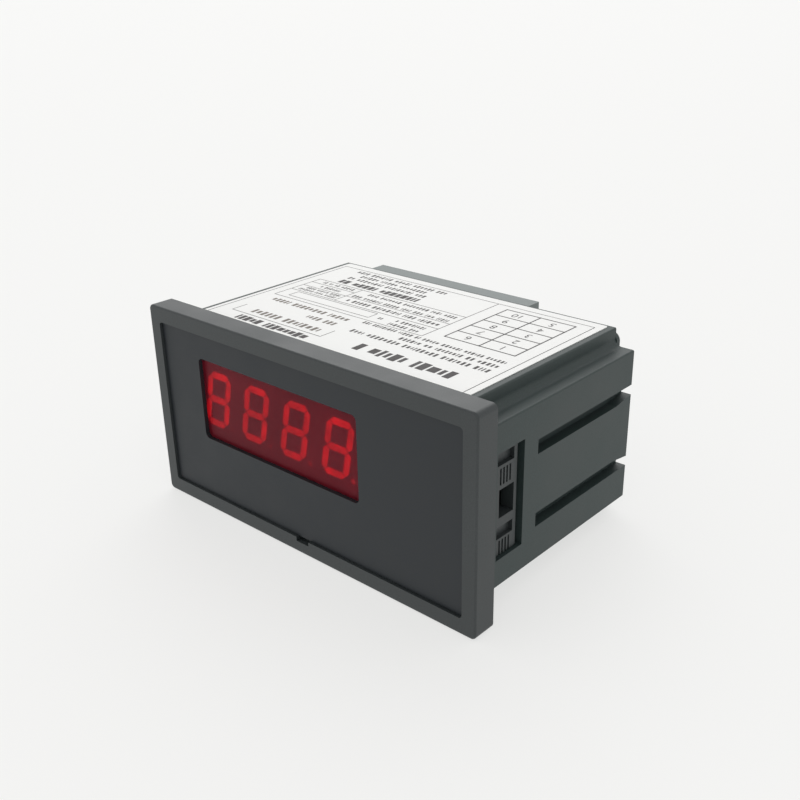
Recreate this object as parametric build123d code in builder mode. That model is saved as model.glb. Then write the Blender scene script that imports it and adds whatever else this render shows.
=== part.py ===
from build123d import *
import os

os.makedirs("parts", exist_ok=True)

# Lengths are in millimetres. X runs to the right, Y from the front to the back and Z up.
# The origin is the middle of the front frame's rear face, which presses on the instrument panel.

overrun = 1.0
same_place = 0.01

# Front frame
frame_width = 96.0
frame_height = 48.0
frame_depth = 5.7
frame_corner = 1.2
frame_edge = 0.45
opening_height = 33.0
opening_corner = 1.0
panel_rest = 8.0

# Front panel and the red filter behind its window
panel_border = 3.5
panel_height = 40.4
panel_corner = 0.8
panel_thickness = 1.0
panel_recess = 0.7
panel_gap = 0.12
window_height = 19.8
window_corner = 1.2
window_border = 12.4
window_z = 4.4
window_lap = 1.8
filter_margin = 2.0
filter_thickness = 0.8
notch_width = 3.8
notch_bite = 1.0

# Case sleeve: raised top and bottom, lower shoulders at the sides
frame_overhang = 2.5
case_height = 44.0
shoulder_width = 4.7
shoulder_height = 35.8
case_depth = 52.3
case_seat = 1.0
case_wall = 2.0
case_edge = 0.4
cove_radius = 1.7
seat_gap = 0.15
rear_wall = 2.0
rear_rim = 2.4
rear_opening_corner = 1.0

# Guide grooves for the panel clamps, open at the rear, with a detent ramp at each mouth
groove_height = 3.2
groove_depth = 2.4
groove_z = 8.25
groove_start = 16.9
detent_length = 6.0
detent_rise = 0.9
channel_wall = 1.3

# Side windows and the latch arms of the front frame that show in them
side_window_start = 3.7
side_window_length = 8.6
side_window_height = 23.4
arm_thickness = 1.5
arm_gap = 0.3
arm_height = 22.8
latch_gap = 0.25
latch_rise = 1.5
latch_length = 7.9
latch_ramp = 0.8
latch_hole_length = 4.7
latch_hole_height = 6.2
latch_hole_start = 1.5
pad_height = 3.6
pad_z_upper = 5.8
pad_z_lower = -10.0
rib_pitch = 1.0
rib_groove = 0.5
rib_count = 4
rib_start = 1.9
pocket_depth = 1.0
pocket_height = 2.6
pocket_z_upper = 9.6
pocket_z_lower = -6.4
pocket_length = 5.4
pocket_start = 0.7

# Rear cover
cover_overhang = 0.4
cover_height = 41.2
cover_corner = 2.0
cover_thickness = 1.2
spigot_length = 3.9
spigot_wall = 1.4
spigot_gap = 0.15
hook_width = 8.0
hook_rise = 0.3
hook_length = 0.8
hook_inset = 10.4

# Label on the raised top
label_side_gap = 1.6
label_front_gap = 2.3
label_end_gap = 0.8
label_thickness = 0.15
label_corner = 0.6

# LED digits
digit_count = 4
digit_pitch = 12.8
digit_gap = 0.2
digit_height = 19.0
digit_depth = 8.0
digit_wall = 0.6
digit_face = 2.6
digit_shift = 1.8
digit_z = 4.3
filter_to_digit = 0.2
figure_width = 6.3
figure_height = 12.2
figure_slant_share = 0.21
stroke = 1.7
stroke_gap = 0.12
point_radius = 0.65
point_sides = 12
point_x = 4.2
point_z = -6.3

# Circuit boards
board_thickness = 1.6
board_clearance = 0.3
arm_clearance = 1.0
post_width = 3.6
post_inset = 1.1
post_z = 13.4
pilot_radius = 0.9
pilot_depth = 5.0
screw_shank = 0.85
screw_length = 4.6
screw_head_radius = 1.7
screw_head_height = 1.2
screw_hole_radius = 1.1
screw_sides = 16
screw_slot = 0.5
main_board_top = 3.8
main_board_start = 12.4
board_end_gap = 0.4
tongue_gap = 1.6
tongue_start = 7.0
guide_rise = 1.5
guide_height = 1.2
guide_gap = 0.15
guide_start = 16.0

# Pin strip between the boards
link_count = 12
link_pitch = 2.54
link_pin = 0.64
link_x = -4.0
strip_depth = 2.5
strip_height = 2.5
strip_front = 8.0

# Converter chip and its socket, on the back of the display board
chip_length = 51.0
chip_width = 13.6
chip_height = 3.8
chip_notch = 1.3
chip_legs = 20
leg_pitch = 2.54
leg_width = 0.5
leg_thickness = 0.3
leg_rise = 1.9
socket_length = 51.4
socket_width = 17.4
socket_height = 3.6
socket_rail = 2.6

# Setting controls behind the front panel
trimmer_size = 9.5
trimmer_depth = 4.8
trimmer_edge = 0.8
trimmer_spread = 20.0
trimmer_gap = 0.4
rotor_radius = 1.8
rotor_depth = 1.4
rotor_gap = 0.08
rotor_slot = 0.6
rotor_slot_depth = 0.7

# Mains transformer
core_width = 30.0
core_length = 25.0
core_stack = 7.0
core_leg = 10.0
core_window_width = 5.0
core_window_length = 15.0
core_corner = 0.3
bobbin_gap = 0.1
bobbin_wall = 0.6
flange_width = 19.4
flange_height = 15.4
flange_thickness = 0.8
bobbin_length = 14.6
winding_inset = 0.4
transformer_inset = 6.6
transformer_y = 28.6

# Supply parts
capacitor_radius = 5.0
capacitor_height = 12.5
capacitor_edge = 0.5
capacitor_inset = 4.8
capacitor_y = 37.6
regulator_width = 10.0
regulator_thickness = 4.4
regulator_body = 9.0
regulator_height = 15.2
regulator_tab = 1.3
regulator_hole = 1.8
regulator_legs = 3
regulator_leg_height = 1.6
regulator_y = 39.6
bridge_length = 8.3
bridge_width = 6.5
bridge_height = 3.4
bridge_edge = 0.4
bridge_step = 15.0
bridge_y = 30.0
fuse_radius = 4.2
fuse_height = 7.6
part_gap = 1.0
fuse_y = 37.6
film_length = 7.2
film_width = 3.0
film_height = 6.8
film_edge = 0.6
film_count = 3
film_inset = 9.6
film_y = 16.0
film_pitch = 5.0

# Rear connector: the header on the main board and the plug with its screws and cages
ways = 10
way_pitch = 5.08
plug_inset = 1.9
plug_top = 20.0
plug_bottom = 4.2
plug_back = 62.0
plug_front = 54.1
plug_edge = 0.5
tongue_height = 7.6
tongue_inset = 0.8
tongue_depth = 8.0
riser_inset = 0.4
socket_gap = 0.2
header_wall = 1.0
header_depth = 9.2
header_back = 1.2
header_proud = 0.3
cover_gap = 0.2
pin_size = 1.0
pin_reach = 7.0
pin_foot = 1.2
pin_back = 1.4
cage_width = 4.0
cage_depth = 4.2
cage_height = 6.2
cage_wall = 0.7
cage_plate = 1.2
cage_travel = 2.5
cage_gap = 0.15
thread_radius = 1.3
thread_gap = 0.06
thread_sides = 16
screw_gap = 0.15
clamp_head_radius = 1.9
clamp_head_height = 1.5
clamp_head_sides = 16
head_well_depth = 4.35
clamp_slot = 0.6
clamp_slot_depth = 0.8
well_gap = 0.15
ledge_height = 1.6
entry_width = 3.4
entry_height = 3.5
entry_flare = 0.45
entry_taper = 45
bar_width = 2.4
bar_thickness = 0.8
bar_play = 0.05
fork_gap = 0.1
fork_front = 1.8

# Places that follow from the sizes above
case_width = frame_width - 2 * frame_overhang
raised_width = case_width - 2 * shoulder_width
panel_width = frame_width - 2 * panel_border
opening_width = panel_width - 2 * panel_rest
frame_front = -frame_depth
panel_front = frame_front + panel_recess
panel_back = panel_front + panel_thickness
filter_back = panel_back + filter_thickness
digit_front = filter_back + filter_to_digit
display_front = digit_front + digit_depth
display_back = display_front + board_thickness
case_half = case_width / 2
inner_half = case_half - case_wall
rear_opening_width = raised_width - 2 * rear_rim
rear_opening_height = case_height - 2 * rear_rim
cover_width = raised_width + 2 * cover_overhang
label_width = raised_width - 2 * label_side_gap
label_length = case_depth - label_front_gap - label_end_gap
arm_outer = inner_half - arm_gap
arm_inner = arm_outer - arm_thickness
latch_start = side_window_start + latch_gap
latch_end = latch_start + latch_length
channel_inner = case_half - groove_depth - channel_wall
digit_width = digit_pitch - digit_gap
window_width = digit_count * digit_pitch - window_lap
window_x = window_border + window_width / 2 - panel_width / 2
digit_x = window_x - digit_shift
display_board_width = 2 * (arm_inner - arm_clearance)
display_board_height = shoulder_height - 2 * case_wall - 2 * board_clearance
post_x = opening_width / 2 + post_inset + post_width / 2
tongue_width = 2 * (post_x - post_width / 2 - tongue_gap)
main_board_width = 2 * (inner_half - board_clearance)
main_board_end = case_depth - spigot_length - board_end_gap
chip_x = digit_x
chip_z = main_board_top - board_thickness - board_clearance - socket_width / 2
trimmer_z = digit_z - digit_height / 2 - trimmer_gap - trimmer_size / 2
transformer_x = main_board_width / 2 - transformer_inset - core_width / 2
capacitor_x = capacitor_inset + capacitor_radius - main_board_width / 2
regulator_x = capacitor_x + capacitor_radius + part_gap + regulator_width / 2
fuse_x = transformer_x - core_width / 2 - part_gap - fuse_radius
film_x = film_inset + film_length / 2 - main_board_width / 2
bridge_x = film_x + bridge_step
header_end = case_depth + cover_thickness + header_proud
header_start = header_end - header_depth
block_width = ways * way_pitch
tongue_block = block_width - 2 * tongue_inset
tongue_back = plug_front
tongue_front = tongue_back - tongue_depth
tongue_bottom = main_board_top + header_wall + socket_gap
header_width = tongue_block + 2 * (socket_gap + header_wall)
header_height = tongue_height + 2 * (socket_gap + header_wall)
pin_z = tongue_bottom + tongue_height / 2
screw_y = (plug_front + plug_back) / 2
plug_x = plug_inset + block_width / 2 - rear_opening_width / 2
head_top = plug_bottom + head_well_depth
cage_bottom = head_top + ledge_height + cage_gap
cage_well_top = cage_bottom + cage_height + cage_travel + cage_gap
bar_bottom = cage_bottom + cage_plate + cage_travel + bar_play
bar_top = bar_bottom + bar_thickness
leaf_top = pin_z + pin_size / 2 + fork_gap + bar_thickness
leaf_bottom = pin_z - pin_size / 2 - fork_gap - bar_thickness
riser_back = plug_front + riser_inset + bar_thickness
riser_front = riser_back - bar_thickness
screw_places = [(-post_x, post_z), (post_x, -post_z)]
way_x = [plug_x + (i - (ways - 1) / 2) * way_pitch for i in range(ways)]
digit_places = [digit_x + (i - (digit_count - 1) / 2) * digit_pitch for i in range(digit_count)]
link_places = [link_x + (i - (link_count - 1) / 2) * link_pitch for i in range(link_count)]


# A plane square to Y at depth y, drawn in X and Z. A negative amount extrudes to the rear.
def section(y):
    return Plane.XZ.offset(-y)


# A plane square to X at x, drawn in Y and Z.
def side_plane(x):
    return Plane.YZ.offset(x)


# The case's section in the sketch at hand, drawn in by inset on every side.
def draw_case_section(inset):
    raised_half = raised_width / 2 - inset
    shoulder_half = shoulder_height / 2 - inset
    Rectangle(2 * raised_half, case_height - 2 * inset)
    Rectangle(case_width - 2 * inset, 2 * shoulder_half)
    coves = vertices().filter_by(
        lambda v: abs(abs(v.X) - raised_half) < same_place and abs(abs(v.Y) - shoulder_half) < same_place
    )
    fillet(coves, cove_radius)
    corners = vertices().filter_by(
        lambda v: abs(abs(v.X) - (case_half - inset)) < same_place
        or abs(abs(v.Y) - (case_height / 2 - inset)) < same_place
    )
    outer = corners.filter_by(
        lambda v: abs(abs(v.X) - raised_half) < same_place or abs(abs(v.Y) - shoulder_half) < same_place
    )
    fillet(outer, case_edge)


# Keeps a finished piece under its node's name.
def keep(piece, name):
    piece.part.label = name
    export_step(piece.part, "parts/" + name + ".step")


# Front frame with its panel recess, case seat, board posts and two side latch arms
with BuildPart() as bezel_frame:
    with BuildSketch(section(frame_front)):
        RectangleRounded(frame_width, frame_height, frame_corner)
    extrude(amount=-frame_depth)
    fillet(bezel_frame.faces().sort_by(Axis.Y)[0].edges(), frame_edge)
    with BuildSketch(section(frame_front)):
        RectangleRounded(panel_width + 2 * panel_gap, panel_height + 2 * panel_gap, panel_corner)
        with Locations((0, -panel_height / 2 - panel_gap)):
            Rectangle(notch_width, 2 * notch_bite)
    extrude(amount=-(panel_back - frame_front), mode=Mode.SUBTRACT)
    with BuildSketch(section(panel_back)):
        RectangleRounded(opening_width, opening_height, opening_corner)
    extrude(amount=panel_back, mode=Mode.SUBTRACT)
    with BuildSketch(section(-case_seat)):
        draw_case_section(-seat_gap)
    extrude(amount=-case_seat, mode=Mode.SUBTRACT)
    for side in (-1, 1):
        with BuildSketch(side_plane(side * arm_inner)):
            with Locations(((latch_end - case_seat) / 2, 0)):
                Rectangle(latch_end + case_seat, arm_height)
        extrude(amount=side * arm_thickness)
        with BuildSketch(side_plane(side * arm_outer)):
            with Locations((latch_start + latch_length / 2, 0)):
                Rectangle(latch_length, arm_height)
        extrude(amount=side * latch_rise)
        ramp = bezel_frame.edges().filter_by(Axis.Z).group_by(Axis.Y)[-1]
        ramp_x = side * (arm_outer + latch_rise)
        chamfer(ramp.filter_by(lambda e: abs(e.center().X - ramp_x) < same_place), latch_ramp)
        with BuildSketch(side_plane(side * arm_inner)):
            with Locations((latch_start + latch_hole_start + latch_hole_length / 2, 0)):
                Rectangle(latch_hole_length, latch_hole_height)
        extrude(amount=side * (arm_thickness + latch_rise), mode=Mode.SUBTRACT)
        with BuildSketch(side_plane(side * (arm_outer + latch_rise - pocket_depth))):
            with Locations((latch_start + pocket_start + pocket_length / 2, pocket_z_upper)):
                Rectangle(pocket_length, pocket_height)
            with Locations((latch_start + pocket_start + pocket_length / 2, pocket_z_lower)):
                Rectangle(pocket_length, pocket_height)
        extrude(amount=side * pocket_depth, mode=Mode.SUBTRACT)
        with BuildSketch(side_plane(side * (arm_outer + latch_rise - rib_groove))):
            rib_middle = latch_start + rib_start + (rib_count - 1) * rib_pitch / 2
            for pad_z in (pad_z_upper, pad_z_lower):
                with Locations((rib_middle, pad_z)):
                    with GridLocations(rib_pitch, 0, rib_count, 1):
                        Rectangle(rib_groove, pad_height)
        extrude(amount=side * rib_groove, mode=Mode.SUBTRACT)
    with BuildSketch(section(-case_seat)):
        with GridLocations(2 * post_x, 2 * post_z, 2, 2):
            Rectangle(post_width, post_width)
    extrude(amount=-(case_seat + display_front))
    with BuildSketch(section(display_front)):
        with Locations(*screw_places):
            RegularPolygon(pilot_radius, screw_sides)
    extrude(amount=pilot_depth, mode=Mode.SUBTRACT)
keep(bezel_frame, "bezel_frame")

# Front panel with the display window
with BuildPart() as front_panel:
    with BuildSketch(section(panel_front)):
        RectangleRounded(panel_width, panel_height, panel_corner)
        with Locations((window_x, window_z)):
            RectangleRounded(window_width, window_height, window_corner, mode=Mode.SUBTRACT)
    extrude(amount=-panel_thickness)
keep(front_panel, "front_panel")

# Red filter, stuck behind the window
with BuildPart() as red_filter:
    with BuildSketch(section(panel_back)):
        with Locations((window_x, window_z)):
            Rectangle(window_width + 2 * filter_margin, window_height + 2 * filter_margin)
    extrude(amount=-filter_thickness)
keep(red_filter, "red_filter")

# Case sleeve
with BuildPart() as case_body:
    with BuildSketch(section(-case_seat)):
        draw_case_section(0)
    extrude(amount=-(case_seat + case_depth))
    with BuildSketch(section(-case_seat)):
        draw_case_section(case_wall)
    extrude(amount=-(case_seat + case_depth - rear_wall), mode=Mode.SUBTRACT)
    with BuildSketch(section(case_depth - rear_wall)):
        RectangleRounded(rear_opening_width, rear_opening_height, rear_opening_corner)
    extrude(amount=-rear_wall, mode=Mode.SUBTRACT)
    channel_start = groove_start - channel_wall
    channel_end = case_depth - rear_wall / 2
    guide_end = case_depth - rear_wall / 2
    for side in (-1, 1):
        with BuildSketch(side_plane(side * channel_inner)):
            with Locations(((channel_start + channel_end) / 2, 0)):
                with GridLocations(0, 2 * groove_z, 1, 2):
                    Rectangle(channel_end - channel_start, groove_height + 2 * channel_wall)
        extrude(amount=side * (inner_half + case_wall / 2 - channel_inner))
        with BuildSketch(side_plane(side * (inner_half - guide_rise))):
            for guide_z in (
                main_board_top + guide_gap + guide_height / 2,
                main_board_top - board_thickness - guide_gap - guide_height / 2,
            ):
                with Locations(((guide_start + guide_end) / 2, guide_z)):
                    Rectangle(guide_end - guide_start, guide_height)
        extrude(amount=side * (guide_rise + case_wall / 2))
        with BuildSketch(side_plane(side * (case_half - groove_depth))):
            for level in (-1, 1):
                outer_z = level * (groove_z + groove_height / 2)
                inner_z = level * (groove_z - groove_height / 2)
                Polygon(
                    (groove_start, inner_z),
                    (case_depth - detent_length, inner_z),
                    (case_depth, inner_z + level * detent_rise),
                    (case_depth + overrun, inner_z + level * detent_rise),
                    (case_depth + overrun, outer_z),
                    (groove_start, outer_z),
                    align=None,
                )
        extrude(amount=side * (groove_depth + overrun), mode=Mode.SUBTRACT)
        with BuildSketch(side_plane(side * (inner_half - overrun))):
            with Locations((side_window_start + side_window_length / 2, 0)):
                Rectangle(side_window_length, side_window_height)
        extrude(amount=side * (case_wall + 2 * overrun), mode=Mode.SUBTRACT)
keep(case_body, "case_body")

# Rear cover with its spigot, snap hooks and connector opening
with BuildPart() as rear_cover:
    with BuildSketch(section(case_depth)):
        RectangleRounded(cover_width, cover_height, cover_corner)
    extrude(amount=-cover_thickness)
    spigot_width = rear_opening_width - 2 * spigot_gap
    spigot_height = rear_opening_height - 2 * spigot_gap
    with BuildSketch(section(case_depth - spigot_length)):
        RectangleRounded(spigot_width, spigot_height, rear_opening_corner)
        Rectangle(spigot_width - 2 * spigot_wall, spigot_height - 2 * spigot_wall, mode=Mode.SUBTRACT)
    extrude(amount=-spigot_length)
    with BuildSketch(section(case_depth - rear_wall - guide_gap)):
        with GridLocations(rear_opening_width - 2 * hook_inset, spigot_height, 2, 2):
            Rectangle(hook_width, 2 * hook_rise)
    extrude(amount=hook_length)
    with BuildSketch(section(case_depth - spigot_length)):
        with Locations((plug_x, main_board_top + header_height / 2)):
            Rectangle(header_width + 2 * cover_gap, header_height + 2 * cover_gap)
    extrude(amount=-(spigot_length + cover_thickness), mode=Mode.SUBTRACT)
keep(rear_cover, "rear_cover")

# Label
with BuildPart() as top_label:
    with BuildSketch(Plane.XY.offset(case_height / 2)):
        with Locations((0, case_depth - label_end_gap - label_length / 2)):
            RectangleRounded(label_width, label_length, label_corner)
    extrude(amount=label_thickness)
keep(top_label, "top_label")


# One stroke of a figure between two points of its middle line, slanted, with pointed ends.
def draw_stroke(start, end):
    run_x = end[0] - start[0]
    run_z = end[1] - start[1]
    run = (run_x**2 + run_z**2) ** 0.5
    along = (run_x / run, run_z / run)
    across = (-along[1], along[0])
    half = stroke / 2
    tip = stroke_gap
    outline = [
        (tip, 0),
        (tip + half, half),
        (run - tip - half, half),
        (run - tip, 0),
        (run - tip - half, -half),
        (tip + half, -half),
    ]
    corners = []
    for forth, out in outline:
        x = start[0] + along[0] * forth + across[0] * out
        z = start[1] + along[1] * forth + across[1] * out
        corners.append((x + figure_slant_share * z, z))
    Polygon(*corners, align=None)


# The seven strokes and the point of one digit, centred on the middle of its face.
def draw_figure():
    right = figure_width / 2
    top = figure_height / 2
    draw_stroke((-right, top), (right, top))
    draw_stroke((-right, 0), (right, 0))
    draw_stroke((-right, -top), (right, -top))
    draw_stroke((-right, 0), (-right, top))
    draw_stroke((right, 0), (right, top))
    draw_stroke((-right, -top), (-right, 0))
    draw_stroke((right, -top), (right, 0))
    with Locations((point_x, point_z)):
        RegularPolygon(point_radius, point_sides)


# LED digits: a moulded shell with an opening for each stroke, and the resin cast into it
for number, place in enumerate(digit_places, start=1):
    face = Plane(origin=(place, digit_front, digit_z), x_dir=(1, 0, 0), z_dir=(0, -1, 0))
    cavity_width = digit_width - 2 * digit_wall
    cavity_height = digit_height - 2 * digit_wall
    with BuildPart() as digit:
        with BuildSketch(face):
            Rectangle(digit_width, digit_height)
        extrude(amount=-digit_depth)
        with BuildSketch(face.offset(-digit_face)):
            Rectangle(cavity_width, cavity_height)
        extrude(amount=-(digit_depth - digit_face), mode=Mode.SUBTRACT)
        with BuildSketch(face):
            draw_figure()
        extrude(amount=-digit_face, mode=Mode.SUBTRACT)
    keep(digit, "digit_" + str(number))
    with BuildPart() as digit_segments:
        with BuildSketch(face):
            draw_figure()
        extrude(amount=-digit_face)
        with BuildSketch(face.offset(-digit_face)):
            Rectangle(cavity_width, cavity_height)
        extrude(amount=-(digit_depth - digit_face))
    keep(digit_segments, "digit_segments_" + str(number))

# Display board, screwed to the frame's posts
with BuildPart() as display_board:
    with BuildSketch(section(display_front)):
        Rectangle(display_board_width, display_board_height)
        with Locations(*screw_places):
            RegularPolygon(screw_hole_radius, screw_sides, mode=Mode.SUBTRACT)
        with Locations(*[(x, main_board_top + strip_height / 2) for x in link_places]):
            Rectangle(link_pin, link_pin, mode=Mode.SUBTRACT)
    extrude(amount=-board_thickness)
keep(display_board, "display_board")

# Two small screws that hold the display board
with BuildPart() as board_screws:
    with BuildSketch(section(display_back)):
        with Locations(*screw_places):
            Circle(screw_head_radius)
    extrude(amount=-screw_head_height)
    with BuildSketch(section(display_back)):
        with Locations(*screw_places):
            RegularPolygon(screw_shank, screw_sides)
    extrude(amount=board_thickness + screw_length)
    with BuildSketch(section(display_back + screw_head_height / 2)):
        with Locations(*screw_places):
            Rectangle(2 * screw_head_radius, screw_slot)
    extrude(amount=-screw_head_height / 2, mode=Mode.SUBTRACT)
keep(board_screws, "board_screws")

# Main board, notched at the front for the latch arms and drilled for the header's pins
pin_foot_y = header_start - pin_back
with BuildPart() as main_board:
    with BuildSketch(Plane.XY.offset(main_board_top - board_thickness)):
        with Locations((0, (main_board_start + main_board_end) / 2)):
            Rectangle(main_board_width, main_board_end - main_board_start)
        with Locations((0, (tongue_start + main_board_start) / 2)):
            Rectangle(tongue_width, main_board_start - tongue_start)
        with Locations(*[(x, pin_foot_y) for x in way_x]):
            Rectangle(pin_size, pin_size, mode=Mode.SUBTRACT)
    extrude(amount=board_thickness)
keep(main_board, "main_board")

# Plastic strip and pins that join the two boards
strip_middle = main_board_top + strip_height / 2
with BuildPart() as board_link:
    with BuildSketch(section(strip_front)):
        with Locations((link_x, strip_middle)):
            Rectangle(link_count * link_pitch, strip_height)
        with Locations(*[(x, strip_middle) for x in link_places]):
            Rectangle(link_pin, link_pin, mode=Mode.SUBTRACT)
    extrude(amount=-strip_depth)
keep(board_link, "board_link")

with BuildPart() as link_pins:
    with BuildSketch(section(display_front)):
        with Locations(*[(x, strip_middle) for x in link_places]):
            Rectangle(link_pin, link_pin)
    extrude(amount=-(strip_front + strip_depth + 2 * link_pin - display_front))
    with BuildSketch(section(strip_front + strip_depth + link_pin)):
        with Locations(*[(x, (main_board_top + strip_middle) / 2) for x in link_places]):
            Rectangle(link_pin, strip_middle - main_board_top)
    extrude(amount=-link_pin)
keep(link_pins, "link_pins")

# Converter chip in its socket
socket_top = display_back + socket_height
with BuildPart() as chip_socket:
    with BuildSketch(section(display_back)):
        with Locations((chip_x, chip_z)):
            Rectangle(socket_length, socket_width)
            Rectangle(
                socket_length - 2 * socket_rail, socket_width - 2 * socket_rail, mode=Mode.SUBTRACT
            )
    extrude(amount=-socket_height)
keep(chip_socket, "chip_socket")

leg_span = socket_width - socket_rail
with BuildPart() as converter_chip:
    with BuildSketch(section(socket_top)):
        with Locations((chip_x, chip_z)):
            Rectangle(chip_length, chip_width)
        with Locations((chip_x - chip_length / 2, chip_z)):
            Circle(chip_notch, mode=Mode.SUBTRACT)
    extrude(amount=-chip_height)
    with BuildSketch(section(socket_top)):
        with Locations((chip_x, chip_z)):
            with GridLocations(leg_pitch, leg_span - leg_thickness, chip_legs, 2):
                Rectangle(leg_width, leg_thickness)
    extrude(amount=-leg_rise)
    with BuildSketch(section(socket_top + leg_rise)):
        with Locations((chip_x, chip_z)):
            with GridLocations(leg_pitch, 0, chip_legs, 1):
                Rectangle(leg_width, leg_span)
    extrude(amount=leg_thickness)
keep(converter_chip, "converter_chip")

# Zero and span controls, each with the rotor that a screwdriver turns
rotor_well = rotor_radius + rotor_gap
for name, trimmer_side in (("zero", 1), ("span", -1)):
    trimmer_face = Plane(
        origin=(digit_x + trimmer_side * trimmer_spread / 2, display_front - trimmer_depth, trimmer_z),
        x_dir=(1, 0, 0),
        z_dir=(0, -1, 0),
    )
    with BuildPart() as trimmer:
        with BuildSketch(trimmer_face):
            body = Rectangle(trimmer_size, trimmer_size)
            chamfer(body.vertices(), trimmer_edge)
        extrude(amount=-trimmer_depth)
        with BuildSketch(trimmer_face):
            Circle(rotor_well)
        extrude(amount=-rotor_depth, mode=Mode.SUBTRACT)
    keep(trimmer, name + "_trimmer")
    with BuildPart() as rotor:
        with BuildSketch(trimmer_face):
            Circle(rotor_radius)
        extrude(amount=-rotor_depth)
        with BuildSketch(trimmer_face):
            Rectangle(2 * rotor_radius, rotor_slot)
        extrude(amount=-rotor_slot_depth, mode=Mode.SUBTRACT)
    keep(rotor, name + "_trimmer_screw")

# Transformer: laminated core, bobbin and winding
transformer_z = main_board_top + flange_height / 2
core_plane = Plane(origin=(transformer_x, transformer_y, transformer_z - core_stack / 2))
with BuildPart() as transformer_core:
    with BuildSketch(core_plane):
        RectangleRounded(core_width, core_length, core_corner)
        with GridLocations(core_leg + core_window_width, 0, 2, 1):
            Rectangle(core_window_width, core_window_length, mode=Mode.SUBTRACT)
    extrude(amount=core_stack)
keep(transformer_core, "transformer_core")

bore_width = core_leg + 2 * bobbin_gap
bore_height = core_stack + 2 * bobbin_gap
tube_width = bore_width + 2 * bobbin_wall
tube_height = bore_height + 2 * bobbin_wall
bobbin_plane = Plane(
    origin=(transformer_x, transformer_y - bobbin_length / 2, transformer_z),
    x_dir=(1, 0, 0),
    z_dir=(0, -1, 0),
)
with BuildPart() as transformer_bobbin:
    for flange_start in (0, bobbin_length - flange_thickness):
        with BuildSketch(bobbin_plane.offset(-flange_start)):
            Rectangle(flange_width, flange_height)
        extrude(amount=-flange_thickness)
    with BuildSketch(bobbin_plane):
        Rectangle(tube_width, tube_height)
    extrude(amount=-bobbin_length)
    with BuildSketch(bobbin_plane):
        Rectangle(bore_width, bore_height)
    extrude(amount=-bobbin_length, mode=Mode.SUBTRACT)
keep(transformer_bobbin, "transformer_bobbin")

with BuildPart() as transformer_winding:
    with BuildSketch(bobbin_plane.offset(-flange_thickness)):
        RectangleRounded(
            flange_width - 2 * winding_inset, flange_height - 2 * winding_inset, winding_inset
        )
        Rectangle(tube_width, tube_height, mode=Mode.SUBTRACT)
    extrude(amount=-(bobbin_length - 2 * flange_thickness))
keep(transformer_winding, "transformer_winding")

# Smoothing capacitor, an upright can
with BuildPart() as smoothing_capacitor:
    with BuildSketch(Plane.XY.offset(main_board_top)):
        with Locations((capacitor_x, capacitor_y)):
            Circle(capacitor_radius)
    extrude(amount=capacitor_height)
    chamfer(smoothing_capacitor.edges().sort_by(Axis.Z)[-1], capacitor_edge)
keep(smoothing_capacitor, "smoothing_capacitor")

# Voltage regulator, upright with its metal tab to the rear
with BuildPart() as voltage_regulator:
    regulator_foot = main_board_top + regulator_leg_height
    regulator_tip = main_board_top + regulator_height
    with BuildSketch(Plane.XY.offset(regulator_foot)):
        with Locations((regulator_x, regulator_y)):
            Rectangle(regulator_width, regulator_thickness)
    extrude(amount=regulator_body)
    tab_y = regulator_y + regulator_thickness / 2
    with BuildSketch(section(tab_y - regulator_tab)):
        with Locations((regulator_x, regulator_foot + (regulator_height - regulator_leg_height) / 2)):
            Rectangle(regulator_width, regulator_height - regulator_leg_height)
        with Locations((regulator_x, (regulator_foot + regulator_body + regulator_tip) / 2)):
            Circle(regulator_hole, mode=Mode.SUBTRACT)
    extrude(amount=-regulator_tab)
    with BuildSketch(Plane.XY.offset(main_board_top)):
        with Locations((regulator_x, regulator_y)):
            with GridLocations(leg_pitch, 0, regulator_legs, 1):
                Rectangle(link_pin, leg_width)
    extrude(amount=regulator_leg_height)
keep(voltage_regulator, "voltage_regulator")

# Bridge rectifier
with BuildPart() as bridge_rectifier:
    with BuildSketch(Plane.XY.offset(main_board_top)):
        with Locations((bridge_x, bridge_y)):
            Rectangle(bridge_length, bridge_width)
    extrude(amount=bridge_height)
    chamfer(bridge_rectifier.faces().sort_by(Axis.Z)[-1].edges(), bridge_edge)
keep(bridge_rectifier, "bridge_rectifier")

# Fuse, a round type soldered to the board
with BuildPart() as fuse:
    with BuildSketch(Plane.XY.offset(main_board_top)):
        with Locations((fuse_x, fuse_y)):
            Circle(fuse_radius)
    extrude(amount=fuse_height)
keep(fuse, "fuse")

# Film capacitors of the converter
for number in range(1, film_count + 1):
    with BuildPart() as film_capacitor:
        with BuildSketch(Plane.XY.offset(main_board_top)):
            with Locations((film_x, film_y + (number - 1) * film_pitch)):
                Rectangle(film_length, film_width)
        extrude(amount=film_height)
        fillet(film_capacitor.edges().filter_by(Axis.Z), film_edge)
    keep(film_capacitor, "film_capacitor_" + str(number))

# Header on the main board: an open-fronted shroud with a slot for each pin in its back wall
header_middle = main_board_top + header_height / 2
with BuildPart() as terminal_header:
    with BuildSketch(section(header_start)):
        with Locations((plug_x, header_middle)):
            Rectangle(header_width, header_height)
    extrude(amount=-header_depth)
    with BuildSketch(section(header_start + header_back)):
        with Locations((plug_x, header_middle)):
            Rectangle(header_width - 2 * header_wall, header_height - 2 * header_wall)
    extrude(amount=-(header_depth - header_back), mode=Mode.SUBTRACT)
    with BuildSketch(section(header_start)):
        with Locations(*[(x, pin_z) for x in way_x]):
            Rectangle(pin_size, pin_size)
    extrude(amount=-header_back, mode=Mode.SUBTRACT)
keep(terminal_header, "terminal_header")

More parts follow.
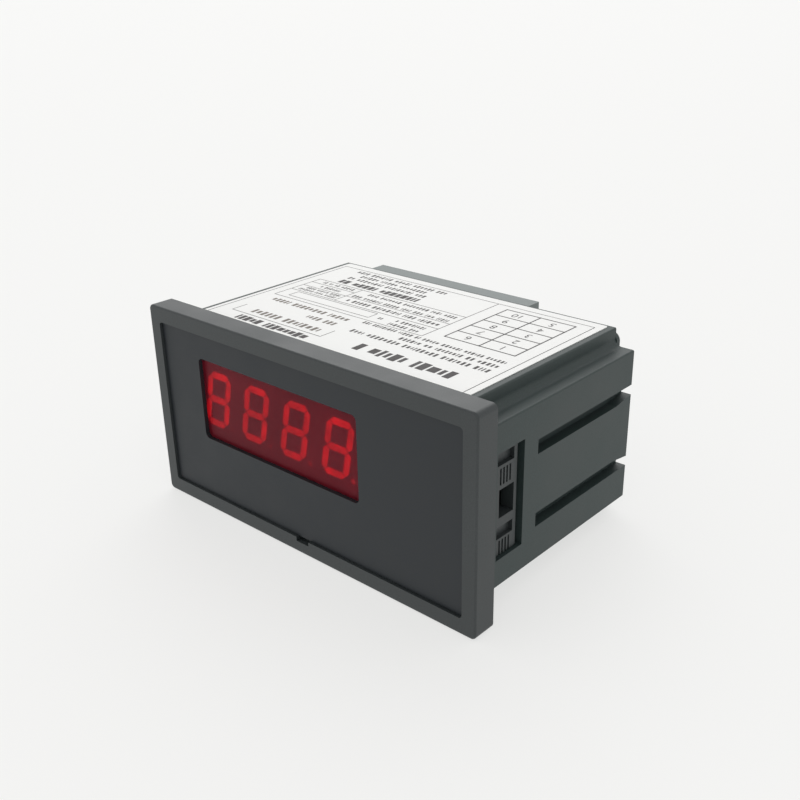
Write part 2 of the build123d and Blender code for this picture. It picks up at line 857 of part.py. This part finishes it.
# Bent pins of the header
with BuildPart() as header_pins:
    with BuildSketch(section(pin_foot_y - pin_size / 2)):
        with Locations(*[(x, pin_z) for x in way_x]):
            Rectangle(pin_size, pin_size)
    extrude(amount=-(header_start + header_back + pin_reach - pin_foot_y + pin_size / 2))
    foot_bottom = main_board_top - board_thickness - pin_foot
    with BuildSketch(Plane.XY.offset(foot_bottom)):
        with Locations(*[(x, pin_foot_y) for x in way_x]):
            Rectangle(pin_size, pin_size)
    extrude(amount=pin_z - foot_bottom)
keep(header_pins, "header_pins")

# Plug housing: a tongue that enters the header, and a block with wells for cages and screws
plug_middle = (plug_top + plug_bottom) / 2
well_width = cage_width + 2 * cage_gap
neck_width = 2 * (thread_radius + screw_gap)
well_depth = cage_depth + 2 * cage_gap
entry_z = bar_top + entry_height / 2
with BuildPart() as terminal_plug:
    with BuildSketch(section(plug_front)):
        with Locations((plug_x, plug_middle)):
            Rectangle(block_width, plug_top - plug_bottom)
    extrude(amount=-(plug_back - plug_front))
    chamfer(terminal_plug.faces().sort_by(Axis.Y)[-1].edges(), plug_edge)
    with BuildSketch(section(tongue_front)):
        with Locations((plug_x, tongue_bottom + tongue_height / 2)):
            Rectangle(tongue_block, tongue_height)
    extrude(amount=-tongue_depth)
    with BuildSketch(Plane.XY.offset(plug_bottom)):
        with Locations(*[(x, screw_y) for x in way_x]):
            RegularPolygon(clamp_head_radius + well_gap, clamp_head_sides, major_radius=False)
    extrude(amount=head_well_depth, mode=Mode.SUBTRACT)
    with BuildSketch(Plane.XY.offset(head_top)):
        with Locations(*[(x, screw_y) for x in way_x]):
            Rectangle(neck_width, neck_width)
    extrude(amount=ledge_height, mode=Mode.SUBTRACT)
    with BuildSketch(Plane.XY.offset(cage_bottom - cage_gap)):
        with Locations(*[(x, screw_y) for x in way_x]):
            Rectangle(well_width, well_depth)
    extrude(amount=cage_well_top - cage_bottom + cage_gap, mode=Mode.SUBTRACT)
    with BuildSketch(section(screw_y)):
        with Locations(*[(x, entry_z) for x in way_x]):
            Rectangle(entry_width, entry_height)
    extrude(amount=-(plug_back - screw_y), mode=Mode.SUBTRACT)
    with BuildSketch(section(plug_back)):
        with Locations(*[(x, entry_z) for x in way_x]):
            Rectangle(entry_width + 2 * entry_flare, entry_height + 2 * entry_flare)
    extrude(amount=entry_flare, taper=entry_taper, mode=Mode.SUBTRACT)
    for x in way_x:
        with BuildSketch(side_plane(x - bar_width / 2 - fork_gap)):
            Polygon(
                (tongue_front, leaf_bottom),
                (riser_back, leaf_bottom),
                (riser_back, bar_bottom),
                (screw_y, bar_bottom),
                (screw_y, bar_top),
                (riser_front, bar_top),
                (riser_front, leaf_top),
                (tongue_front, leaf_top),
                align=None,
            )
        extrude(amount=bar_width + 2 * fork_gap, mode=Mode.SUBTRACT)
keep(terminal_plug, "terminal_plug")

# Contacts of the plug, one for each way: a fork on the pin, a riser and the bar that the wire is
# pressed on
fork_start = tongue_front + fork_front
bar_end = screw_y + cage_depth / 2
with BuildPart() as plug_contacts:
    for x in way_x:
        with BuildSketch(side_plane(x - bar_width / 2)):
            Polygon(
                (fork_start, leaf_top),
                (riser_front, leaf_top),
                (riser_front, bar_top),
                (bar_end, bar_top),
                (bar_end, bar_bottom),
                (riser_back, bar_bottom),
                (riser_back, leaf_bottom),
                (fork_start, leaf_bottom),
                (fork_start, leaf_bottom + bar_thickness),
                (riser_front, leaf_bottom + bar_thickness),
                (riser_front, leaf_top - bar_thickness),
                (fork_start, leaf_top - bar_thickness),
                align=None,
            )
        extrude(amount=bar_width)
keep(plug_contacts, "plug_contacts")

# A clamp cage and its screw for each way. The cage rises to let the wire in over the bar, and the
# screw, turned from below, draws it down.
for number, x in enumerate(way_x, start=1):
    with BuildPart() as clamp_cage:
        with BuildSketch(section(screw_y - cage_depth / 2)):
            with Locations((x, cage_bottom + cage_height / 2)):
                Rectangle(cage_width, cage_height)
            with Locations((x, cage_bottom + (cage_plate + cage_height - cage_wall) / 2)):
                Rectangle(
                    cage_width - 2 * cage_wall, cage_height - cage_plate - cage_wall, mode=Mode.SUBTRACT
                )
        extrude(amount=-cage_depth)
        with BuildSketch(Plane.XY.offset(cage_bottom)):
            with Locations((x, screw_y)):
                RegularPolygon(thread_radius + thread_gap, thread_sides, major_radius=False)
        extrude(amount=cage_plate, mode=Mode.SUBTRACT)
    keep(clamp_cage, "clamp_cage_" + str(number))
    with BuildPart() as terminal_screw:
        with BuildSketch(Plane.XY.offset(head_top)):
            with Locations((x, screw_y)):
                RegularPolygon(thread_radius, thread_sides)
        extrude(amount=bar_bottom - thread_gap - head_top)
        with BuildSketch(Plane.XY.offset(head_top - clamp_head_height)):
            with Locations((x, screw_y)):
                RegularPolygon(clamp_head_radius, clamp_head_sides)
        extrude(amount=clamp_head_height)
        with BuildSketch(Plane.XY.offset(head_top - clamp_head_height)):
            with Locations((x, screw_y)):
                Rectangle(2 * clamp_head_radius, clamp_slot)
        extrude(amount=clamp_slot_depth, mode=Mode.SUBTRACT)
    keep(terminal_screw, "terminal_screw_" + str(number))
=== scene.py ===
import math
import random

import bpy
from mathutils import Matrix, Vector


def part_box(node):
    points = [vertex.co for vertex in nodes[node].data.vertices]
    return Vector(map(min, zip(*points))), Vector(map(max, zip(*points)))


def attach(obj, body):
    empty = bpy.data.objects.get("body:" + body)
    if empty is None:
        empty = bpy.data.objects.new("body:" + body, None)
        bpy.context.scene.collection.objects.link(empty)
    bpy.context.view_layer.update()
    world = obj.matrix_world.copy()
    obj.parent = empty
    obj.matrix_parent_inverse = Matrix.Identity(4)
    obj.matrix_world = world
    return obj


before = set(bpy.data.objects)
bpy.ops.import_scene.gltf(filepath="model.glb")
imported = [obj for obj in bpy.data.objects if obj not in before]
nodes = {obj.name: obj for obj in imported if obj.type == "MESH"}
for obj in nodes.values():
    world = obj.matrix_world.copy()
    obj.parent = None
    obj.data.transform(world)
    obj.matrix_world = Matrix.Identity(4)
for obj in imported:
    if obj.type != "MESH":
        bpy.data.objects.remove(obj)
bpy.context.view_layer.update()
bpy.ops.object.select_all(action="DESELECT")
print("frame loaded:", len(nodes), "nodes")

mm = 0.001

cameraSettings = {
    "place": (144.43, -131.8, 96.77),       # mm, in the meter's own frame
    "right": (0.7451, 0.6667, -0.0179),
    "forward": (-0.6154, 0.6769, -0.4038),
    "sensor": 36.0,
    "lens": 45.45,
    "nearest": 0.005,                       # m, closer things aren't drawn
}

bpy.ops.object.camera_add()
camera = bpy.context.object
camera.name = "photoCamera"
forward = Vector(cameraSettings["forward"]).normalized()
right = Vector(cameraSettings["right"])
right = (right - forward * right.dot(forward)).normalized()
turn = Matrix((right, right.cross(forward), -forward)).transposed().to_4x4()
camera.matrix_world = Matrix.Translation(Vector(cameraSettings["place"]) * mm) @ turn
camera.data.sensor_width = cameraSettings["sensor"]
camera.data.lens = cameraSettings["lens"]
camera.data.clip_start = cameraSettings["nearest"]
bpy.context.scene.camera = camera
print("camera set")


def hexColour(text):             # sRGB hex to the linear values that Blender works in
    parts = [int(text[i:i + 2], 16) / 255 for i in (1, 3, 5)]
    linear = [p / 12.92 if p <= 0.04045 else ((p + 0.055) / 1.055) ** 2.4 for p in parts]
    return (*linear, 1.0)


def addNode(tree, kind, links=None, **settings):      # a node, what feeds it, what is set on it
    node = tree.nodes.new(kind)
    for name, value in settings.items():
        if name in node.bl_rna.properties:
            setattr(node, name, value)
        else:
            node.inputs[name.replace("_", " ")].default_value = value
    for name, source in (links or {}).items():
        tree.links.new(source, node.inputs[name])
    return node


def newMaterial(name, **shaderSettings):   # a bare Principled shader and the piece's coordinates
    material = bpy.data.materials.new(name)
    material.use_nodes = True
    tree = material.node_tree
    tree.nodes.clear()
    shader = addNode(tree, "ShaderNodeBsdfPrincipled", **shaderSettings)
    addNode(tree, "ShaderNodeOutputMaterial", {"Surface": shader.outputs["BSDF"]})
    coords = addNode(tree, "ShaderNodeTexCoord")
    return material, tree, shader, coords.outputs["Object"]


def perMetre(sizeMm):            # noise scale for features about sizeMm across
    return 1.0 / (sizeMm * mm)


def rampBetween(tree, factor, dark, light, low=0.3, high=0.7):
    ramp = addNode(tree, "ShaderNodeValToRGB", {"Fac": factor})
    for element, position, colour in zip(ramp.color_ramp.elements, (low, high), (dark, light)):
        element.position = position
        element.color = hexColour(colour)
    return ramp.outputs["Color"]


def dress(names, material):
    for name in names:
        slots = nodes[name].data.materials
        slots.clear()
        slots.append(material)


sparkGrain = {
    "size": 0.32,      # mm; the real grain is about 0.05, drawn coarser so that it shows
    "height": 0.014,
    "cloud": 16,       # mm across a patch of slightly different pigment
}


# ABS moulded in a spark-eroded tool: an even fine grain that breaks the shine, a very slight
# cloudiness from the pigment, and patches that are a little duller.
def sparkedAbs(name, dark, light, roughness):
    material, tree, shader, place = newMaterial(name, IOR=1.5)
    cloud = addNode(
        tree, "ShaderNodeTexNoise", {"Vector": place},
        Scale=perMetre(sparkGrain["cloud"]), Detail=3.0, Roughness=0.55,
    )
    speck = addNode(
        tree, "ShaderNodeTexNoise", {"Vector": place},
        Scale=perMetre(sparkGrain["size"]), Detail=2.0, Roughness=0.6,
    )
    blend = addNode(tree, "ShaderNodeMath", operation="MULTIPLY")
    tree.links.new(cloud.outputs["Fac"], blend.inputs[0])
    tree.links.new(speck.outputs["Fac"], blend.inputs[1])
    colour = rampBetween(tree, blend.outputs[0], dark, light, 0.12, 0.42)
    shine = addNode(
        tree, "ShaderNodeMapRange", {"Value": cloud.outputs["Fac"]},
        From_Min=0.3, From_Max=0.7, To_Min=roughness - 0.05, To_Max=roughness + 0.06,
    )
    grain = addNode(
        tree, "ShaderNodeBump", {"Height": speck.outputs["Fac"]},
        Strength=0.5, Distance=sparkGrain["height"] * mm,
    )
    tree.links.new(colour, shader.inputs["Base Color"])
    tree.links.new(shine.outputs["Result"], shader.inputs["Roughness"])
    tree.links.new(grain.outputs["Normal"], shader.inputs["Normal"])
    return material


# Plain moulded, dipped or cast plastic: one colour with a faint mottle and a soft uneven shine.
def mouldedPlastic(name, dark, light, roughness, mottleMm=2.5, specular=0.5):
    material, tree, shader, place = newMaterial(name, IOR=1.5, Specular_IOR_Level=specular)
    mottle = addNode(
        tree, "ShaderNodeTexNoise", {"Vector": place},
        Scale=perMetre(mottleMm), Detail=4.0, Roughness=0.6,
    )
    colour = rampBetween(tree, mottle.outputs["Fac"], dark, light)
    shine = addNode(
        tree, "ShaderNodeMapRange", {"Value": mottle.outputs["Fac"]},
        From_Min=0.3, From_Max=0.7, To_Min=roughness - 0.05, To_Max=roughness + 0.05,
    )
    dimple = addNode(
        tree, "ShaderNodeBump", {"Height": mottle.outputs["Fac"]}, Strength=0.2, Distance=0.01 * mm,
    )
    tree.links.new(colour, shader.inputs["Base Color"])
    tree.links.new(shine.outputs["Result"], shader.inputs["Roughness"])
    tree.links.new(dimple.outputs["Normal"], shader.inputs["Normal"])
    return material


caseAbs = sparkedAbs("sparkedAbsCase", "#212d2c", "#2d3a39", 0.52)
frameAbs = sparkedAbs("sparkedAbsFrame", "#2a2f30", "#34393a", 0.48)
panelPolycarbonate = mouldedPlastic(
    "satinPolycarbonatePanel", "#1a1f23", "#202529", 0.5, mottleMm=7, specular=0.4,
)
terminalNylon = mouldedPlastic("mouldedNylonTerminal", "#6a7271", "#767e7d", 0.5)
blackNylon = mouldedPlastic("mouldedNylonBlack", "#17181a", "#1f2022", 0.5)
chipEpoxy = mouldedPlastic("mouldedEpoxyChip", "#1a1a1c", "#222225", 0.6, mottleMm=0.8)
digitShell = mouldedPlastic("paintedDigitShell", "#3c3236", "#443a3e", 0.6, specular=0.2)
trimmerPlastic = mouldedPlastic("mouldedTrimmerBody", "#2857a0", "#3264b0", 0.4)
filmResin = mouldedPlastic("dippedFilmResin", "#9b4a22", "#a9562a", 0.3)
windingTape = mouldedPlastic("polyesterWindingTape", "#c9a52c", "#d4b23c", 0.35)
canSleeve = mouldedPlastic("shrunkCanSleeve", "#1c2b55", "#23356a", 0.3)
labelFilm = mouldedPlastic(
    "satinLabelFilm", "#e9e9e7", "#eeeeec", 0.45, mottleMm=20, specular=0.3,
)


# Acrylic sheet dyed through, its face matted against glare: dark red with next to no reflection
# (so the index is set low) and a slight haze that blurs what lies behind it.
def dyedAcrylic():
    material, tree, shader, place = newMaterial(
        "mattedAcrylicFilter", IOR=1.2, Roughness=0.36, Transmission_Weight=0.82,
        Specular_IOR_Level=0.08,
    )
    streak = addNode(tree, "ShaderNodeTexNoise", {"Vector": place}, Scale=perMetre(12), Detail=2.0)
    colour = rampBetween(tree, streak.outputs["Fac"], "#ae2840", "#be3048")
    tree.links.new(colour, shader.inputs["Base Color"])
    return material


litDigits = {
    "strength": 1.5,
    "dim": "#a81420",
    "bright": "#e01c2c",
    "digitX": (-28.4, -15.6, -2.8, 10.0),   # middle of each digit, mm
    "point": (4.2, -2.0),                   # mm: point's x from the digit's middle, and its z
    "pointReach": 1.0,                      # mm round the point's middle that glow as the point does
    "pointEdge": 0.1,
    "pointGlow": (0.0, 0.0, 0.28, 0.28),    # light in each digit's point, as a share of a stroke's
}


# Clear epoxy with a white diffuser, cast into each segment over an LED chip: an even red glow,
# a little brighter in some patches than in others, and a point that only picks up stray light.
def litResin(index):
    material, tree, shader, place = newMaterial("diffusingSegmentResin%d" % (index + 1), Roughness=0.4)
    patch = addNode(tree, "ShaderNodeTexNoise", {"Vector": place}, Scale=perMetre(3), Detail=2.0)
    colour = rampBetween(tree, patch.outputs["Fac"], litDigits["dim"], litDigits["bright"])
    flat = addNode(tree, "ShaderNodeVectorMath", operation="MULTIPLY")
    tree.links.new(place, flat.inputs[0])
    flat.inputs[1].default_value = (1, 0, 1)
    away = addNode(tree, "ShaderNodeVectorMath", {0: flat.outputs[0]}, operation="DISTANCE")
    pointX = litDigits["digitX"][index] + litDigits["point"][0]
    away.inputs[1].default_value = (pointX * mm, 0, litDigits["point"][1] * mm)
    glow = addNode(
        tree, "ShaderNodeMapRange", {"Value": away.outputs["Value"]},
        From_Min=litDigits["pointReach"] * mm,
        From_Max=(litDigits["pointReach"] + litDigits["pointEdge"]) * mm,
        To_Min=litDigits["pointGlow"][index] * litDigits["strength"],
        To_Max=litDigits["strength"],
    )
    tree.links.new(colour, shader.inputs["Base Color"])
    tree.links.new(colour, shader.inputs["Emission Color"])
    tree.links.new(glow.outputs["Result"], shader.inputs["Emission Strength"])
    return material


# Printed circuit board: glass epoxy under green solder resist, through which copper tracks show
# as lighter stripes.
def resistedBoard():
    material, tree, shader, place = newMaterial("resistedGlassEpoxyBoard", Roughness=0.35)
    tracks = addNode(
        tree, "ShaderNodeTexBrick", {"Vector": place}, Scale=perMetre(9),
        Color1=hexColour("#1d5a34"), Color2=hexColour("#1a5230"),
        Mortar=hexColour("#3c8a4c"), Mortar_Size=0.04,
    )
    tree.links.new(tracks.outputs["Color"], shader.inputs["Base Color"])
    return material


# Drawn or stamped metal under a thin plating: bright, with fine lines along the tool's path.
def platedMetal(name, dark, light, roughness, lineMm=0.15):
    material, tree, shader, place = newMaterial(name, Metallic=1.0, Roughness=roughness)
    stretch = addNode(tree, "ShaderNodeMapping", {"Vector": place}, Scale=(1.0, 1.0, 0.15))
    line = addNode(
        tree, "ShaderNodeTexNoise", {"Vector": stretch.outputs["Vector"]},
        Scale=perMetre(lineMm), Detail=3.0,
    )
    colour = rampBetween(tree, line.outputs["Fac"], dark, light)
    tree.links.new(colour, shader.inputs["Base Color"])
    return material


zincSteel = platedMetal("zincPlatedSteel", "#b4b6b8", "#d2d4d5", 0.3)
tinnedBrass = platedMetal("tinnedBrass", "#c2bda8", "#d8d3c0", 0.28)
coreSteel = platedMetal("varnishedCoreSteel", "#5c5c60", "#77777b", 0.5, lineMm=0.4)

ways = range(1, 11)              # the terminal plug's ten ways
softestEdge = math.radians(28)   # edges that turn more than this stay sharp
dress(["bezel_frame"], frameAbs)
dress(["case_body", "rear_cover"], caseAbs)
dress(["front_panel"], panelPolycarbonate)
dress(["red_filter"], dyedAcrylic())
dress(["top_label"], labelFilm)
for index in range(4):
    dress(["digit_%d" % (index + 1)], digitShell)
    dress(["digit_segments_%d" % (index + 1)], litResin(index))
dress(["display_board", "main_board"], resistedBoard())
dress(["board_link", "chip_socket", "terminal_header", "transformer_bobbin", "fuse"], blackNylon)
dress(["converter_chip", "voltage_regulator", "bridge_rectifier"], chipEpoxy)
dress(["zero_trimmer", "span_trimmer"], trimmerPlastic)
dress(["transformer_winding"], windingTape)
dress(["transformer_core"], coreSteel)
dress(["smoothing_capacitor"], canSleeve)
dress(["film_capacitor_1", "film_capacitor_2", "film_capacitor_3"], filmResin)
dress(["terminal_plug"], terminalNylon)
dress(["link_pins", "header_pins", "plug_contacts"], tinnedBrass)
dress(["zero_trimmer_screw", "span_trimmer_screw"], tinnedBrass)
dress(["board_screws"], zincSteel)
dress(["terminal_screw_%d" % way for way in ways], zincSteel)
dress(["clamp_cage_%d" % way for way in ways], zincSteel)
for node in nodes.values():
    bpy.context.view_layer.objects.active = node
    node.select_set(True)
    bpy.ops.object.shade_smooth_by_angle(angle=softestEdge)
    node.select_set(False)
print("materials on", len(nodes), "nodes")


labelPrint = {
    "ink": ("#221c1d", "#2e2827"),
    "paleInk": ("#6f6862", "#7b746d"),
    "rise": 0.012,                # mm that the ink stands on the film
    "line": 0.2,                  # width of a ruled line
    "boldLine": 0.36,
    "letterShare": 0.5,           # a letter's width as a share of its height
    "letterGap": 0.2,
    "wordGap": 0.5,
    "widths": (0.5, 0.85, 1.0, 1.0, 1.15),
    "heights": (0.72, 1.0, 1.0),
    "firstWord": (3, 8),          # fewest and most letters in a line's first word
    "nextWord": (2, 9),
    "seed": 7,
    "heavy": 1.12,                # a bar's width as a share of its letter's, in each kind of print
    "fine": 0.8,
    "stamped": 0.85,
}

# Places are mm in the meter's frame. The print is read from behind, so lines run towards -X.
ruledLines = [
    # x start, x end, y
    (37.4, -38.0, 2.8), (37.4, -38.0, 49.0),
    (11.7, -35.2, 21.5), (11.7, -35.2, 27.0), (11.7, -35.2, 31.0),
    (-20.4, -35.2, 34.0), (11.7, -35.2, 36.8),
    (-5.5, -31.8, 23.0), (-5.5, -31.8, 26.2), (-5.0, -34.2, 7.5),
]
ruledUprights = [
    # x, y start, y end
    (37.4, 2.8, 49.0), (-38.0, 2.8, 49.0), (11.7, 21.5, 49.0),
    (-35.2, 21.5, 36.8), (-20.4, 27.0, 36.8),
    (-5.5, 23.0, 26.2), (-31.8, 23.0, 26.2), (-5.0, 7.5, 12.0), (-34.2, 7.5, 12.0),
]
boldText = [
    # x start, x end, y middle, letter height
    (31.0, 4.0, 8.4, 3.6), (-7.0, -31.0, 5.2, 2.5), (-4.6, -31.0, 39.0, 2.4),
]
smallText = [
    # as above
    (35.0, -3.0, 14.6, 1.7), (35.0, 8.0, 17.5, 1.5), (35.0, -4.5, 20.1, 1.3),
    (9.4, 0.2, 22.9, 1.4), (9.4, 0.2, 25.2, 1.4), (-2.2, -4.0, 24.2, 1.0),
    (10.2, -19.2, 29.0, 1.6), (-21.4, -34.2, 28.3, 1.1), (-21.4, -33.0, 29.9, 1.1),
    (10.2, -19.2, 32.2, 1.4), (10.2, -17.0, 35.0, 1.4),
    (-24.0, -31.0, 32.5, 1.2), (-22.0, -33.0, 35.4, 1.2),
    (-5.0, -31.0, 42.2, 1.6), (-7.0, -29.0, 44.7, 1.5), (-2.6, -33.0, 47.2, 1.6),
]
paleText = [
    # as above
    (-7.8, -31.6, 10.0, 2.3), (-8.0, -18.0, 15.0, 1.9), (-7.6, -33.0, 18.8, 1.9),
]


def addBar(x, y, width, depth):        # one flat bar of ink, added to the mesh being edited
    middle = (x * mm, y * mm, printHeight)
    bpy.ops.mesh.primitive_plane_add(size=mm, location=middle)
    bpy.ops.transform.resize(value=(width, depth, 1), center_override=middle)


def startPrint(name, material):        # an empty mesh in edit mode
    bpy.ops.object.select_all(action="DESELECT")
    bpy.ops.mesh.primitive_plane_add(size=mm)
    piece = bpy.context.object
    piece.name = name
    piece.data.materials.append(material)
    bpy.ops.object.mode_set(mode="EDIT")
    bpy.ops.mesh.delete(type="VERT")
    return piece


def endPrint(piece):
    bpy.ops.object.mode_set(mode="OBJECT")
    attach(piece, "housing")


def letterBars(dice, start, end, y, height, weight):   # a line of print as letter-sized bars
    x = start
    left = dice.randint(*labelPrint["firstWord"])
    while x > end + height * labelPrint["letterShare"]:
        width = height * labelPrint["letterShare"] * dice.choice(labelPrint["widths"])
        addBar(x - width / 2, y, width * weight, height * dice.choice(labelPrint["heights"]))
        x -= width + height * labelPrint["letterGap"]
        left -= 1
        if left == 0:
            x -= height * labelPrint["wordGap"]
            left = dice.randint(*labelPrint["nextWord"])


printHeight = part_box("top_label")[1].z + labelPrint["rise"] * mm
printInk = mouldedPlastic("screenPrintedInk", *labelPrint["ink"], 0.5, specular=0.3)
stampInk = mouldedPlastic("inkJetInk", *labelPrint["paleInk"], 0.6, specular=0.3)

rules = startPrint("label_rules", printInk)
for start, end, y in ruledLines:
    addBar((start + end) / 2, y, start - end, labelPrint["line"])
for x, start, end in ruledUprights:
    addBar(x, (start + end) / 2, labelPrint["line"], end - start)
endPrint(rules)

dice = random.Random(labelPrint["seed"])
headings = startPrint("label_headings", printInk)
for start, end, y, height in boldText:
    letterBars(dice, start, end, y, height, labelPrint["heavy"])
endPrint(headings)
lines = startPrint("label_text", printInk)
for start, end, y, height in smallText:
    letterBars(dice, start, end, y, height, labelPrint["fine"])
endPrint(lines)
stamped = startPrint("label_stamp", stampInk)
for start, end, y, height in paleText:
    letterBars(dice, start, end, y, height, labelPrint["stamped"])
endPrint(stamped)
print("label printed")


# Connection chart: two columns of five ruled boxes with the terminals' numbers.
chart = {
    "left": 34.0,
    "front": 24.4,
    "boxWidth": 9.2,
    "boxDepth": 4.5,
    "numberSize": 3.0,
    "rows": 5,
}
chartRules = startPrint("label_chart", printInk)
for row in range(chart["rows"] + 1):
    y = chart["front"] + row * chart["boxDepth"]
    addBar(chart["left"] - chart["boxWidth"], y, 2 * chart["boxWidth"], labelPrint["boldLine"])
for column in range(3):
    length = chart["rows"] * chart["boxDepth"] + labelPrint["boldLine"]
    middle = chart["front"] + chart["rows"] * chart["boxDepth"] / 2
    addBar(chart["left"] - column * chart["boxWidth"], middle, labelPrint["boldLine"], length)
endPrint(chartRules)

numbers = []
for number in ways:
    column, row = divmod(number - 1, chart["rows"])
    bpy.ops.object.text_add()
    text = bpy.context.object
    text.data.body = str(number)
    text.data.size = chart["numberSize"] * mm
    text.data.align_x = "CENTER"
    text.data.align_y = "CENTER"
    bpy.ops.object.convert(target="MESH")
    text.rotation_euler = (0, 0, math.pi)
    text.location = (
        (chart["left"] - (column + 0.5) * chart["boxWidth"]) * mm,
        (chart["front"] + (row + 0.5) * chart["boxDepth"]) * mm,
        printHeight,
    )
    numbers.append(text)
bpy.ops.object.select_all(action="DESELECT")
for text in numbers:
    text.select_set(True)
bpy.context.view_layer.objects.active = numbers[0]
bpy.ops.object.transform_apply(location=True, rotation=True, scale=True)
bpy.ops.object.join()
chartNumbers = bpy.context.object
chartNumbers.name = "label_numbers"
chartNumbers.data.materials.clear()
chartNumbers.data.materials.append(printInk)
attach(chartNumbers, "housing")
print("connection chart printed")


floorSettings = {
    "size": 14.0,                    # m, so that no edge comes into view
    "frontEdge": (0.0, -24.0),       # y and z in mm of the front frame's edge, that the meter rests on
    "rearEdge": (52.3, -22.0),       # and of the case's rear edge
    "colour": "#8a8a89",
    "glow": "#d4d4d3",
}

rise = floorSettings["rearEdge"][1] - floorSettings["frontEdge"][1]
run = floorSettings["rearEdge"][0] - floorSettings["frontEdge"][0]
bpy.ops.mesh.primitive_plane_add(
    size=floorSettings["size"],
    location=(0, 0, floorSettings["frontEdge"][1] * mm),
    rotation=(math.atan2(rise, run), 0, 0),
)
floor = bpy.context.object
floor.name = "floor"
bpy.ops.object.transform_apply(location=True, rotation=True, scale=True)

# Opal acrylic of a light table: an even pale glow, on which the shadow is faint.
floorMaterial, tree, shader, place = newMaterial(
    "backlitOpalAcrylicFloor", Roughness=0.9, Specular_IOR_Level=0.1, Emission_Strength=1.0,
    Base_Color=hexColour(floorSettings["colour"]), Emission_Color=hexColour(floorSettings["glow"]),
)
floor.data.materials.append(floorMaterial)

roomLight = {
    "strength": 0.8,                 # light from all round
    "seen": "#f4f4f4",               # what the camera, gloss and clear pieces see of the room
}
world = bpy.data.worlds.new("softRoom")
bpy.context.scene.world = world
world.use_nodes = True
worldTree = world.node_tree
worldTree.nodes.clear()
ambient = addNode(worldTree, "ShaderNodeBackground", Color=(1, 1, 1, 1), Strength=roomLight["strength"])
seen = addNode(worldTree, "ShaderNodeBackground", Color=hexColour(roomLight["seen"]), Strength=1.0)
rays = addNode(worldTree, "ShaderNodeLightPath")
either = addNode(
    worldTree, "ShaderNodeMath",
    {0: rays.outputs["Is Camera Ray"], 1: rays.outputs["Is Glossy Ray"]}, operation="MAXIMUM",
)
anyOf = addNode(
    worldTree, "ShaderNodeMath",
    {0: either.outputs[0], 1: rays.outputs["Is Transmission Ray"]}, operation="MAXIMUM",
)
mixed = addNode(
    worldTree, "ShaderNodeMixShader",
    {0: anyOf.outputs[0], 1: ambient.outputs[0], 2: seen.outputs[0]},
)
addNode(worldTree, "ShaderNodeOutputWorld", {"Surface": mixed.outputs[0]})

windowLight = {
    "from": (-0.9, 1.1, 1.3),        # m, behind the meter on its left
    "spread": 50,                    # degrees, for a soft shadow
    "strength": 0.9,
}
bpy.ops.object.light_add(type="SUN", location=windowLight["from"])
light = bpy.context.object
light.name = "rearWindowLight"
light.data.angle = math.radians(windowLight["spread"])
light.data.energy = windowLight["strength"]
light.rotation_euler = Vector(windowLight["from"]).to_track_quat("Z", "Y").to_euler()
bpy.context.scene.view_settings.view_transform = "Standard"
print("floor and light set")
